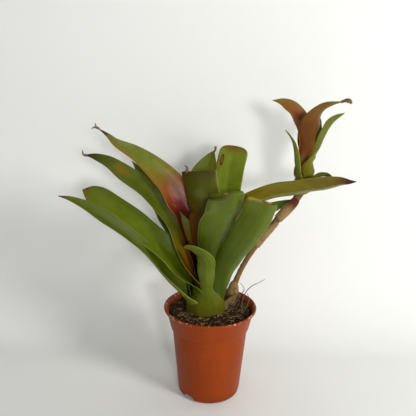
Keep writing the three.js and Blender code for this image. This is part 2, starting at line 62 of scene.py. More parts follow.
# name: (sheath azimuth, radius, half arc), rise, half width, cup (mid, tip),
# twist (mid, tip), neck (share of the width above the sheath, from, to),
# tip (power, start, width left at a cut end), way its back faces or None,
# blend from sheath to blade (from, to) or None, path
LEAVES = {
    "leaf_front_short": ((272, 25.4, 1.45), (25.2, 26), 12.5, (0.9, 0.6), (0, 0), (0.7, 0.25, 0.6),
        (4, 0.72), (0, -1), (8, 40),
        [(-6, -29, 174), (-7, -33, 188), (-12, -36, 198), (-22, -37, 206), (-33, -35, 209)]),
    "leaf_left_low": ((188, 22.6, 1.2), (27.5, 18), 12, (1.0, 0.9), (30, 45), (1.75, 0.15, 0.5),
        (1.6, 0.7), None, None,
        [(-53, -10, 158), (-70, -14, 183), (-92, -20, 209), (-114, -25, 229), (-136, -28, 246),
         (-154, -29, 258), (-168, -30, 265), (-180, -30, 268)]),
    "leaf_back_right": ((72, 24.8, 1.1), (28, 26), 16, (0.7, 0.4), (0, 0), (0.8, 0.2, 0.62), (4, 0.8),
        None, None,
        [(16, 62, 175), (32, 88, 193), (47, 112, 203), (60, 130, 205)]),
    "leaf_right_front": ((330, 22.4, 1.1), (22.8, 18), 19.5, (0.6, 0.3), (55, 60), (0.72, 0.2, 0.62),
        (10, 0.95), None, None,
        [(14, -12, 164), (23, -17, 189), (36, -22, 212), (47, -26, 232), (55, -29, 251), (60, -30, 267)]),
    "leaf_left_edge": ((150, 20, 1.1), (24, 30), 10, (1.1, 0.8), (15, 25), (0.9, 0.2, 0.62),
        (1.5, 0.5), None, None,
        [(-50, 25, 199), (-61, 30, 215), (-73, 34, 234), (-84, 37, 249)]),
    "leaf_left_mid": ((212, 19.8, 1.0), (21, 36), 17, (0.6, 0.45), (45, 50), (1.35, 0.15, 0.45),
        (3.2, 0.82), None, None,
        [(-43, -6, 182), (-63, -5, 201), (-81, -1, 215), (-102, 4, 231), (-128, 10, 246),
         (-150, 14, 260), (-164, 16, 266)]),
    "leaf_back_low": ((85, 19.6, 0.85), (24, 30), 17, (0.7, 0.4), (0, 0), (0.8, 0.2, 0.62), (4, 0.8),
        None, None,
        [(-8, 60, 179), (-10, 95, 204), (-14, 125, 221), (-16, 150, 223)]),
    "leaf_right_back": ((40, 17.4, 1.0), (20, 40), 13, (0.8, 0.4), (-30, -35), (0.8, 0.2, 0.62),
        (2, 0.6), None, None,
        [(28, 22, 204), (45, 26, 222), (66, 30, 236), (88, 33, 246), (111, 36, 254)]),
    "leaf_left_back_short": ((138, 17.4, 0.65), (20, 40), 20, (0.7, 0.4), (50, 50), (0.9, 0.2, 0.62),
        (1.8, 0.5), None, None,
        [(-36, 26, 215), (-49, 32, 235), (-64, 36, 253), (-79, 38, 269), (-93, 40, 285), (-105, 42, 300)]),
    "leaf_left_curl": ((200, 15.2, 1.3), (17, 40), 14, (0.8, 0.55), (48, 35), (1.8, 0.25, 0.52),
        (2.2, 0.74), None, None,
        [(-38, -3, 214), (-51, -1, 235), (-65, 2, 252), (-80, 4, 266), (-96, 6, 279), (-113, 6, 291),
         (-128, 6, 302), (-143, 6, 309), (-156, 6, 312)]),
    "leaf_right_long": ((15, 15.2, 1.1), (16, 44), 15.5, (0.65, 0.6), (55, 45), (0.9, 0.2, 0.62),
        (2.6, 0.8), None, None,
        [(14, 6, 215), (25, 6, 236), (40, 5, 251), (60, 4, 262), (80, 3, 269), (99, 2, 272),
         (120, 2, 276), (138, 1, 279), (156, 0, 283), (167, -1, 284), (175, -1, 286)]),
    "leaf_back_small": ((105, 13, 1.0), (15, 50), 20, (0.7, 0.4), (0, 0), (0.85, 0.2, 0.62),
        (2.4, 0.72), (-0.1, 1), (18, 70),
        [(-13, 24, 254), (-11, 32, 281), (-6, 36, 296), (-2, 38, 307), (2, 39, 316)]),
    "leaf_centre_front": ((285, 13, 1.3), (15, 45), 27, (0.55, 0.35), (0, -6), (0.48, 0.42, 0.78),
        (2.0, 0.7, 0.74), (0.15, -1), (18, 75),
        [(0, -19, 205), (8, -24, 232), (15, -27, 250), (17, -28, 265), (16, -26, 275)]),
    "leaf_left_high": ((160, 10.8, 1.2), (12, 50), 22, (0.75, 0.6), (50, 60), (0.85, 0.2, 0.5),
        (1.25, 0.5), None, None,
        [(-31, 10, 238), (-43, 12, 257), (-54, 14, 275), (-68, 16, 290), (-85, 18, 304),
         (-101, 20, 315), (-120, 21, 325), (-132, 22, 335), (-143, 22, 343)]),
    "leaf_back_tall": ((60, 8.6, 1.2), (10, 50), 19, (0.5, 0.25), (0, 0), (0.8, 0.2, 0.62), (7, 0.88),
        (0.1, 1), (18, 70),
        [(17, 14, 249), (18, 22, 268), (21, 28, 286), (25, 34, 305), (29, 40, 322)]),
    "leaf_centre_dark": ((250, 8.6, 1.2), (10, 40), 24, (0.5, 0.35), (0, 0), (0.5, 0.3, 0.7),
        (14, 0.97), (-0.2, -1), (18, 75),
        [(-8, -8, 232), (-11, -9, 253), (-14, -9, 270), (-17, -9, 284), (-19, -9, 297)]),
}
PUP_LEAVES = {
    "pup_bract": ((300, 13.2, 1.0), (14.6, 7), 9, (0.9, 0.6), (15, 25), (0.9, 0.2, 0.62), (2, 0.4),
        None, (4, 12),
        [(132, 13, 288), (142, 12, 290), (151, 11, 287)]),
    "pup_leaf_left_low": ((222, 12.2, 1.0), (13.2, 14), 10.5, (1.0, 0.7), (0, 0), (0.9, 0.2, 0.62),
        (1.6, 0.4), None, (5, 14),
        [(103, 21, 308), (101, 21, 323), (96, 21, 336), (89, 21, 345)]),
    "pup_leaf_right_low": ((290, 9.4, 1.2), (10.4, 12), 13, (0.7, 0.4), (0, 0), (0.9, 0.2, 0.62),
        (1.3, 0.3), (0.3, -1), (4, 12),
        [(120, 17, 301), (124, 15, 311), (127, 13, 321)]),
    "pup_leaf_right": ((10, 9.2, 1.2), (10, 18), 13, (0.8, 0.5), (30, 40), (0.9, 0.2, 0.62),
        (2.2, 0.65), None, None,
        [(128, 31, 308), (135, 32, 324), (142, 34, 341), (150, 35, 355), (164, 36, 366)]),
    "pup_leaf_back": ((90, 6.4, 1.0), (8, 20), 13, (0.6, 0.4), (0, 0), (0.8, 0.2, 0.62), (1.8, 0.6),
        None, None,
        [(125, 46, 318), (131, 52, 335), (136, 58, 350), (140, 66, 359)]),
    "pup_leaf_centre": ((255, 6.4, 1.2), (7, 18), 19, (0.7, 0.6), (0, -10), (0.6, 0.3, 0.62),
        (1.5, 0.6), (0.25, -1), (4, 14),
        [(119, 23, 313), (119, 21, 332), (122, 20, 348), (126.5, 19, 361.5), (133, 17.5, 370.5),
         (143, 15, 376.5), (156, 11, 381)]),
    "pup_leaf_left": ((200, 4.2, 1.0), (5, 18), 17, (0.55, 0.4), (25, 50), (0.75, 0.2, 0.62),
        (1.6, 0.55), None, None,
        [(114, 31, 323), (112, 32, 340), (108, 33, 355), (99, 34, 369), (87, 35, 377), (73, 36, 380)]),
}

STOLON_PATH = [(26, 15, 112), (29, 16, 128), (35, 17, 150), (46, 19, 174), (63, 21, 201), (82, 24, 225),
               (98, 27, 243), (108, 29, 255), (114, 30, 264)]
STOLON_RADII = [4.6, 4.0, 3.5, 3.4, 3.6, 3.9, 4.3, 4.6, 4.8]
# name, share of the stolon from and to, radii, half arc, facing azimuth
SCALES = [
    ("stolon_scale_foot", 0.03, 0.2, [6.6, 7.4, 5.8], 2.2, 250),
    ("stolon_scale_middle", 0.5, 0.73, [4.9, 5.6, 5.2], 2.2, 300),
    ("stolon_scale_upper", 0.75, 0.95, [5.5, 6.6, 6.4], 2.2, 270),
]
DRY_BASE_PATH = [(20, 0, 110.5), (24, 1, 121), (31, 2, 129), (35, 2, 134)]
DRY_BASE_HALVES = [8, 7, 5, 2]
DRY_BASE_FACING = (0.7, -0.7, 0)
PUP_STEM = [(0, 262), (4.6, 262.4), (8.5, 265), (12.6, 268.4), (13.4, 269.6), (8, 273), (0, 275)]
ROOT_RADIUS = 0.7
ROOTS = {
    "root_loop": [(32, 12, 112), (39, 10, 128), (44, 9, 136), (43, 8, 142), (38, 7, 148)],
    "root_hook": [(30, 8, 112), (34, 7, 126), (38, 6, 132), (36, 5, 137), (33, 4, 140)],
    "root_long": [(42, 14, 112), (44, 13, 124), (48, 12, 134), (55, 11, 142), (63, 10, 147), (71, 10, 152)],
    "root_short": [(47, 6, 112), (50, 6, 120), (51, 5, 127), (48, 5, 134)],
}


# ---- curves -------------------------------------------------------------------

def smooth(start, end, x):
    """0 at start and 1 at end, level at both."""
    t = min(max((x - start) / (end - start), 0.0), 1.0)
    return t * t * (3 - 2 * t)


def spread(values, t):
    """The value at t along evenly spaced values."""
    place = min(max(t, 0.0), 1.0) * (len(values) - 1)
    k = min(int(place), len(values) - 2)
    return values[k] + (values[k + 1] - values[k]) * (place - k)


def stations(points, count, crowding=1.0):
    """Rows of (t, distance, point, tangent) on a uniform Catmull-Rom curve."""
    p = [Vector(q) for q in points]
    p = [p[0] * 2 - p[1], *p, p[-1] * 2 - p[-2]]
    fine = []
    for i in range(len(p) - 3):
        a, b, c, d = p[i:i + 4]
        for k in range(24):
            u = k / 24
            t0, t1 = (c - a) / 2, (d - b) / 2
            square = -3 * b + 3 * c - 2 * t0 - t1
            cube = 2 * b - 2 * c + t0 + t1
            fine.append(b + t0 * u + square * u * u + cube * u ** 3)
    fine.append(p[-2])
    run = [0.0]
    for a, b in zip(fine, fine[1:]):
        run.append(run[-1] + (b - a).length)
    rows = []
    k = 0
    for i in range(count + 1):
        t = 1 - (1 - i / count) ** crowding
        s = t * run[-1]
        while k < len(run) - 2 and run[k + 1] < s:
            k += 1
        u = (s - run[k]) / (run[k + 1] - run[k])
        at = fine[k].lerp(fine[k + 1], u)
        ahead, behind = fine[min(k + 2, len(fine) - 1)], fine[max(k - 1, 0)]
        rows.append((t, s, at, (ahead - behind).normalized()))
    return rows


# ---- meshes -------------------------------------------------------------------

def object_from(name, verts, faces, uvs=None, smooth_shade=True):
    """A mesh object from millimetre points; uvs holds one pair per point."""
    mesh = bpy.data.meshes.new(name)
    mesh.from_pydata([Vector(v) * MM for v in verts], [], faces)
    if uvs is not None:
        layer = mesh.uv_layers.new(name="leaf")
        for loop in mesh.loops:
            layer.data[loop.index].uv = uvs[loop.vertex_index]
    mesh.validate()
    obj = bpy.data.objects.new(name, mesh)
    bpy.context.scene.collection.objects.link(obj)
    if smooth_shade:
        mesh.shade_smooth()
    return obj


def outward(obj):
    """Faces point out of the closed mesh."""
    bm = bmesh.new()
    bm.from_mesh(obj.data)
    bmesh.ops.recalc_face_normals(bm, faces=bm.faces)
    bm.to_mesh(obj.data)
    bm.free()
    return obj


def join(name, objs):
    """One object made of several, with their materials kept."""
    target = objs[0]
    with bpy.context.temp_override(active_object=target, object=target, selected_objects=objs,
                                   selected_editable_objects=objs):
        bpy.ops.object.join()
    target.name = name
    return target


def place(obj, slot, *nodes):
    """A finished piece that stands for its CAD nodes."""
    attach(obj, "root")
    if nodes:
        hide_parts(*nodes)


def strip_faces(rows, ring):
    """Faces of a flattened tube of rings, closed at both ends."""
    faces = []
    for r in range(rows - 1):
        for i in range(ring):
            a, b = r * ring + i, r * ring + (i + 1) % ring
            faces.append((a, b, b + ring, a + ring))
    last = (rows - 1) * ring
    for i in range(ring // 2 - 1):
        j = ring - 1 - i
        faces.append((i, j, j - 1, i + 1))
        faces.append((last + i, last + i + 1, last + j - 1, last + j))
    return faces


def strip_uvs(across, t):
    """One ring's uv pairs, up one face and back along the other."""
    shares = [i / across for i in range(across + 1)]
    return [(u, t) for u in shares + shares[::-1]]


# ---- leaves -------------------------------------------------------------------

def along(mid, tip, t):
    """A value that grows from 0 to mid, then goes to tip."""
    if t < 0.4:
        return mid * smooth(0, 0.4, t)
    return mid + (tip - mid) * smooth(0.4, 1, t)


def taper(tip, t):
    """Share of the leaf's full width at t."""
    power, start = tip[:2]
    if t <= start:
        return 1.0
    q = (t - start) / (1 - start)
    if len(tip) == 3:
        return 1 - (1 - tip[2]) * q ** power
    return math.sqrt(max(1 - q ** power, 0)) if power >= 4 else 1 - q ** power


def leaf_rows(plant, spec, steps):
    """Rows of (t, point, side, face, half width, section radius)."""
    sheath, rise, half, cup, twist, neck, tip, out, blend, path = spec
    azimuth, sheath_radius, sheath_arc = sheath
    heading = Vector((math.cos(math.radians(azimuth)), math.sin(math.radians(azimuth)), 0))
    foot = Vector((plant["x"], plant["y"], plant["cone_top"] - plant["slope"] * sheath_radius))
    points = [foot + heading * sheath_radius, foot + heading * rise[0] + UP * rise[1], *path]
    rows = stations(points, steps, TIP_CROWDING)
    blend_start, blend_end = blend or (plant["run"], plant["run"] * 2.5)
    if out:
        outward_way = Vector((out[0], out[1], 0)).normalized()
    else:
        middle = stations(points, 12, TIP_CROWDING)[4][2]
        reach = (rows[-1][2] + middle) * 0.5 - rows[0][2]
        outward_way = Vector((reach.x, reach.y, 0)).normalized()
    made = []
    for t, s, at, tangent in rows:
        mix = smooth(blend_start, blend_end * 1.6, s)
        opened = smooth(blend_start, blend_end, s)
        hint = heading.lerp(outward_way, mix) * -0.6 + UP * mix
        face = (hint - tangent * hint.dot(tangent)).normalized()
        face.rotate(Matrix.Rotation(math.radians(-along(*twist, t)), 3, tangent))
        side = tangent.cross(face)
        arc = sheath_arc + (cup[0] - sheath_arc) * opened + (cup[1] - cup[0]) * smooth(0.45, 1, t)
        blade = half * (neck[0] + (1 - neck[0]) * smooth(neck[1], neck[2], t))
        full = sheath_radius * sheath_arc * (1 - opened) + blade * opened
        width = max(full * taper(tip, t), 0.6)
        made.append((t, at, side, face, width, width / arc))
    return made


def leaf_mesh(name, plant, spec, thickness, look, steps=72, across=18):
    """A closed leaf blade with a fine edge, slight waves and a soft midrib."""
    wave, wave_count, crease = look.get("wave", 0.5), 5, 0.5
    seed = sum(ord(c) for c in name)
    verts, uvs = [], []
    for t, at, side, face, half, radius in leaf_rows(plant, spec, steps):
        upper, lower = [], []
        free = smooth(0.12, 0.5, t) * (1 - 0.6 * smooth(0.9, 1, t))
        for i in range(across + 1):
            v = 2 * i / across - 1
            angle = half / radius * v
            shape = math.sqrt(max(1 - v * v, 0))
            lift = thickness * 0.5 * (LEAF_EDGE_SHARE + (1 - LEAF_EDGE_SHARE) * shape)
            ripple = wave * free * abs(v) ** 3 * math.sin(wave_count * math.tau * t + seed + 1.7 * v)
            rib = -crease * free * math.exp(-(v / 0.16) ** 2)
            grain = 0.35 * free * noise.noise(Vector((v * 1.5, t * 7, seed)))
            middle = at + side * (radius * math.sin(angle)) + face * (radius * (1 - math.cos(angle)))
            normal = face * math.cos(angle) - side * math.sin(angle)
            middle = middle + normal * (ripple + rib + grain)
            upper.append(middle + normal * lift)
            lower.append(middle - normal * lift)
        verts += upper + lower[::-1]
        uvs += strip_uvs(across, t)
    faces = strip_faces(steps + 1, 2 * (across + 1))
    return outward(object_from(name, verts, faces, uvs))


def tube(name, points, radii, steps=40, sides=12, wobble=0.0, seed=0):
    """A rod with flat-capped ends along a curve, slightly uneven."""
    rows = stations(points, steps)
    side = Vector((1, 0, 0))
    verts, uvs, faces = [], [], []
    for t, s, at, tangent in rows:
        side = (side - tangent * side.dot(tangent)).normalized()
        up = tangent.cross(side)
        radius = spread(radii, t)
        for i in range(sides):
            angle = math.tau * i / sides
            x, y = math.cos(angle), math.sin(angle)
            bump = 1 + wobble * noise.noise(Vector((x * 2, y * 2, s * 0.25 + seed)))
            verts.append(at + (side * x + up * y) * radius * bump)
            uvs.append((i / sides, t))
    for r in range(steps):
        for i in range(sides):
            a, b = r * sides + i, r * sides + (i + 1) % sides
            faces.append((a, b, b + sides, a + sides))
    faces.append(tuple(range(sides))[::-1])
    faces.append(tuple(range(steps * sides, (steps + 1) * sides)))
    return outward(object_from(name, verts, faces, uvs))


# ---- materials ----------------------------------------------------------------

class Nodes:
    """Short calls for building one material's node tree."""

    def __init__(self, name):
        self.material = bpy.data.materials.new(name)
        self.material.use_nodes = True
        self.tree = self.material.node_tree
        self.shader = self.tree.nodes["Principled BSDF"]

    def add(self, kind, inputs=None, **settings):
        node = self.tree.nodes.new(kind)
        for key, value in settings.items():
            setattr(node, key, value)
        for key, value in (inputs or {}).items():
            self.feed(node.inputs[key], value)
        return node

    def feed(self, socket, value):
        if isinstance(value, bpy.types.NodeSocket):
            self.tree.links.new(value, socket)
        else:
            socket.default_value = value

    def math(self, operation, a, b=0.0, c=0.0, clamp=False):
        node = self.add("ShaderNodeMath", {0: a, 1: b, 2: c}, operation=operation, use_clamp=clamp)
        return node.outputs[0]

    def ramp(self, factor, stops, interpolation="EASE"):
        node = self.add("ShaderNodeValToRGB", {"Fac": factor})
        ramp = node.color_ramp
        ramp.interpolation = interpolation
        while len(ramp.elements) < len(stops):
            ramp.elements.new(0.5)
        for element, (position, colour) in zip(ramp.elements, stops):
            element.position = position
            element.color = (*colour, 1) if len(colour) == 3 else colour
        return node.outputs["Color"]

    def mix(self, factor, a, b, blend="MIX"):
        node = self.add("ShaderNodeMix", data_type="RGBA", blend_type=blend)
        self.feed(node.inputs[0], factor)
        self.feed(node.inputs[6], a)
        self.feed(node.inputs[7], b)
        return node.outputs[2]

    def noise(self, vector, scale, detail=3.0, roughness=0.55):
        inputs = {"Vector": vector, "Scale": scale, "Detail": detail, "Roughness": roughness}
        return self.add("ShaderNodeTexNoise", inputs).outputs["Fac"]

    def between(self, value, low, high):
        """0 below low and 1 above high."""
        node = self.add("ShaderNodeMapRange", {"Value": value, "From Min": low, "From Max": high},
                        interpolation_type="SMOOTHSTEP")
        return node.outputs["Result"]

    def bump(self, height, distance, strength=1.0):
        node = self.add("ShaderNodeBump", {"Height": height, "Distance": distance, "Strength": strength})
        self.feed(self.shader.inputs["Normal"], node.outputs["Normal"])


def rgb(code):
    """Linear colour from an sRGB hex code."""
    parts = [int(code[i:i + 2], 16) / 255 for i in (0, 2, 4)]
    return tuple(p / 12.92 if p <= 0.04045 else ((p + 0.055) / 1.055) ** 2.4 for p in parts)


def leaf_ground(n, look, u, v, cloud):
    """The colours along the leaf, and those that come in across it."""
    shift = look.get("shift", 0.12)
    shifted = n.math("ADD", v, n.math("MULTIPLY_ADD", cloud, shift, -shift / 2))
    colour = n.ramp(shifted, [(t, rgb(c)) for t, c in look["along"]])
    for low, high, code, strength in look.get("edges", []):
        wander = n.math("MULTIPLY_ADD", cloud, 0.16, -0.08)
        factor = n.between(n.math("ADD", u, wander), low, high)
        if "edge_span" in look:
            start, end = look["edge_span"]
            factor = n.math("MULTIPLY", factor, n.between(v, start, end))
        colour = n.mix(n.math("MULTIPLY", factor, strength), colour, (*rgb(code), 1))
    return colour


def leaf_edge_highlight(n, look, colour, u, streak):
    """A pale line painted along both sides as a highlight where the leaf's edge catches light, and the mask
    that it lies in.
    """
    from_middle = n.math("ABSOLUTE", n.math("SUBTRACT", u, 0.5))
    edge_highlight = n.between(n.math("MULTIPLY_ADD", streak, 0.012, from_middle), 0.482, 0.497)
    strength = n.math("MULTIPLY", edge_highlight, look.get("edge_highlight", 0.55))
    return n.mix(strength, colour, (*rgb(look.get("edge_highlight_colour", "a4a878")), 1)), edge_highlight


def leaf_marks(n, look, colour, u, v, cloud, stretched):
    """Soft patches, scars and a dry tip."""
    for *spot, code in look.get("patches", []):
        reach = spot_distance(n, u, v, cloud, spot)
        inside = n.math("SUBTRACT", 1.0, n.between(reach, 0.2, 1.3))
        colour = n.mix(inside, colour, (*rgb(code), 1))
    for *spot, code in look.get("scars", []):
        colour = add_scar(n, colour, u, v, cloud, spot, code)
    if "tip" in look:
        start, code = look["tip"]
        ragged = n.math("MULTIPLY_ADD", n.noise(stretched, 0.6, 2), 0.05, v)
        colour = n.mix(n.between(ragged, start, start + 0.02), colour, (*rgb(code), 1))
    return colour


def leaf_material(name, look):
    """Colour runs along the leaf, with streaks, waxy bloom with a painted sheen, a painted highlight along
    both edges, scars and a dry tip.
    """
    n = Nodes(name)
    uv = n.add("ShaderNodeUVMap", uv_map="leaf").outputs["UV"]
    split = n.add("ShaderNodeSeparateXYZ", {0: uv})
    u, v = split.outputs["X"], split.outputs["Y"]
    where = n.add("ShaderNodeTexCoord").outputs["Object"]
    cloud = n.noise(where, 28, 4)
    colour = leaf_ground(n, look, u, v, cloud)
    stretched = n.add("ShaderNodeMapping", {"Vector": uv, "Scale": (60, 2.2, 1)}).outputs["Vector"]
    streak = n.noise(stretched, 1.0, 3)
    colour = n.mix(0.5, colour, n.ramp(streak, STREAK_TONES), "OVERLAY")
    mottle = n.noise(where, 90, 4)
    colour = n.mix(0.45, colour, n.ramp(mottle, MOTTLE_TONES), "OVERLAY")
    # Grey-green tint in soft patches: the leaves' waxy bloom, with a painted sheen on it.
    bloom_and_sheen = n.math("MULTIPLY", n.between(n.noise(where, 14, 2), 0.45, 0.75), look.get("bloom_and_sheen", 0.1))
    colour = n.mix(bloom_and_sheen, colour, (*rgb("8a9074"), 1))
    # Painted highlight: a pale line along both edges, where the leaf's edge catches light.
    colour, edge_highlight = leaf_edge_highlight(n, look, colour, u, streak)
    colour = leaf_marks(n, look, colour, u, v, cloud, stretched)
    n.feed(n.shader.inputs["Base Color"], n.mix(1.0, colour, LEAF_DEPTH, "MULTIPLY"))
    rough = n.math("MULTIPLY_ADD", mottle, 0.22, look.get("rough", 0.4) - 0.11)
    n.feed(n.shader.inputs["Roughness"], n.math("ADD", rough, n.math("MULTIPLY", edge_highlight, 0.2)))
    n.shader.inputs["Specular IOR Level"].default_value = look.get("gloss", 0.15)
    n.shader.inputs["Subsurface Weight"].default_value = 0.02
    n.shader.inputs["Subsurface Radius"].default_value = (0.5, 1.0, 0.25)
    n.shader.inputs["Subsurface Scale"].default_value = 0.003
    ribs = n.math("ADD", n.math("MULTIPLY", streak, 0.7), n.math("MULTIPLY", mottle, 0.5))
    n.bump(ribs, 0.0007, 0.5)
    return n.material


def spot_distance(n, u, v, cloud, spot):
    """Distance from a place on the leaf, 1 at the given reach, with a ragged outline."""
    su, sv, ru, rv = spot
    du = n.math("DIVIDE", n.math("SUBTRACT", u, su), ru)
    dv = n.math("DIVIDE", n.math("SUBTRACT", v, sv), rv)
    reach = n.math("SQRT", n.math("ADD", n.math("MULTIPLY", du, du), n.math("MULTIPLY", dv, dv)))
    return n.math("ADD", reach, n.math("MULTIPLY_ADD", cloud, 1.6, -0.8))


def add_scar(n, colour, u, v, cloud, spot, code):
    """A brown patch with a darker rim at a place on the leaf."""
    reach = spot_distance(n, u, v, cloud, spot)
    rim = n.math("SUBTRACT", 1.0, n.between(reach, 0.9, 1.25))
    core = n.math("SUBTRACT", 1.0, n.between(reach, 0.45, 0.8))
    colour = n.mix(rim, colour, (*rgb("4a2c17"), 1))
    return n.mix(core, colour, (*rgb(code), 1))


def woody_material(name, dark, light, scale=60, rough=0.75, lengthwise=True, tip=None):
    """Fibrous dry skin; tip is the colour its far end turns to."""
    n = Nodes(name)
    uv = n.add("ShaderNodeUVMap", uv_map="leaf").outputs["UV"]
    where = n.add("ShaderNodeTexCoord").outputs["Object"]
    stretched = n.add("ShaderNodeMapping", {"Vector": uv, "Scale": (12, 2.5, 1)}).outputs["Vector"]
    fibres = n.noise(stretched if lengthwise else where, 4 if lengthwise else scale, 5, 0.65)
    blotch = n.noise(where, scale * 2, 4)
    factor = n.math("MULTIPLY_ADD", blotch, 0.5, n.math("MULTIPLY", fibres, 0.5))
    colour = n.ramp(factor, [(0.36, rgb(dark)), (0.5, rgb(light)), (0.64, rgb(dark))])
    colour = n.mix(n.between(blotch, 0.55, 0.7), colour, (*rgb(light), 1))
    if tip:
        far = n.add("ShaderNodeSeparateXYZ", {0: uv}).outputs["Y"]
        reached = n.between(n.math("MULTIPLY_ADD", blotch, 0.3, far), 0.6, 0.95)
        colour = n.mix(reached, colour, (*rgb(tip), 1))
    n.feed(n.shader.inputs["Base Color"], colour)
    n.shader.inputs["Roughness"].default_value = rough
    n.shader.inputs["Specular IOR Level"].default_value = 0.3
    n.bump(n.math("ADD", fibres, n.math("MULTIPLY", blotch, 0.5)), 0.0012, 0.8)
    return n.material


def pot_material():
    """Moulded terracotta-coloured plastic with faint uprights, dust and a scuffed rim."""
    n = Nodes("pot_plastic")
    where = n.add("ShaderNodeTexCoord").outputs["Object"]
    split = n.add("ShaderNodeSeparateXYZ", {0: where})
    z = split.outputs["Z"]
    upright = n.add("ShaderNodeMapping", {"Vector": where, "Scale": (60, 60, 4)}).outputs["Vector"]
    flow = n.noise(upright, 1.0, 3)
    dust = n.noise(where, 55, 5, 0.6)
    colour = n.ramp(flow, [(0.25, rgb("803000")), (0.5, rgb("883400")), (0.75, rgb("8e3800"))])
    colour = n.mix(n.math("MULTIPLY", n.between(dust, 0.5, 0.72), 0.12), colour, (*rgb("a05020"), 1))
    chips = n.noise(where, 240, 2, 0.5)
    near_rim = n.between(z, 0.1150, 0.1182)
    wear = n.math("MULTIPLY", near_rim, n.between(chips, 0.57, 0.66))
    colour = n.mix(n.math("MULTIPLY", wear, 0.8), colour, (*rgb("d9a27c"), 1))
    near_foot = n.math("SUBTRACT", 1.0, n.between(z, 0.001, 0.012))
    low_dirt = n.math("MULTIPLY", near_foot, n.between(dust, 0.4, 0.6))
    colour = n.mix(n.math("MULTIPLY", low_dirt, 0.5), colour, (*rgb("5f2c12"), 1))
    n.feed(n.shader.inputs["Base Color"], colour)
    n.feed(n.shader.inputs["Roughness"], n.math("MULTIPLY_ADD", dust, 0.25, 0.3))
    n.shader.inputs["Specular IOR Level"].default_value = 0.16
    n.bump(n.math("ADD", n.math("MULTIPLY", flow, 0.4), n.math("MULTIPLY", dust, 0.6)), 0.0004, 0.35)
    return n.material


def soil_material():
    n = Nodes("peat")
    where = n.add("ShaderNodeTexCoord").outputs["Object"]
    coarse = n.noise(where, 260, 5, 0.7)
    fine = n.noise(where, 900, 4, 0.7)
    colour = n.ramp(coarse, [(0.3, rgb("120c08")), (0.5, rgb("2f2013")), (0.66, rgb("5b4128")),
                             (0.8, rgb("8a6a43"))])
    colour = n.mix(n.math("MULTIPLY", n.between(fine, 0.55, 0.75), 0.5), colour, (*rgb("6e5230"), 1))
    n.feed(n.shader.inputs["Base Color"], colour)
    n.shader.inputs["Roughness"].default_value = 0.92
    n.shader.inputs["Specular IOR Level"].default_value = 0.2
    n.bump(n.math("ADD", coarse, n.math("MULTIPLY", fine, 0.5)), 0.002, 0.9)
    return n.material


def crumb_material(name, dark, light):
    n = Nodes(name)
    where = n.add("ShaderNodeTexCoord").outputs["Object"]
    patch = n.noise(where, 320, 3, 0.6)
    colour = n.ramp(patch, [(0.35, rgb(dark)), (0.65, rgb(light))])
    n.feed(n.shader.inputs["Base Color"], colour)
    n.shader.inputs["Roughness"].default_value = 0.9
    n.shader.inputs["Specular IOR Level"].default_value = 0.2
    n.bump(n.noise(where, 1200, 3), 0.0006, 0.8)
    return n.material


# ---- looks of each leaf ---------------------------------------------------------

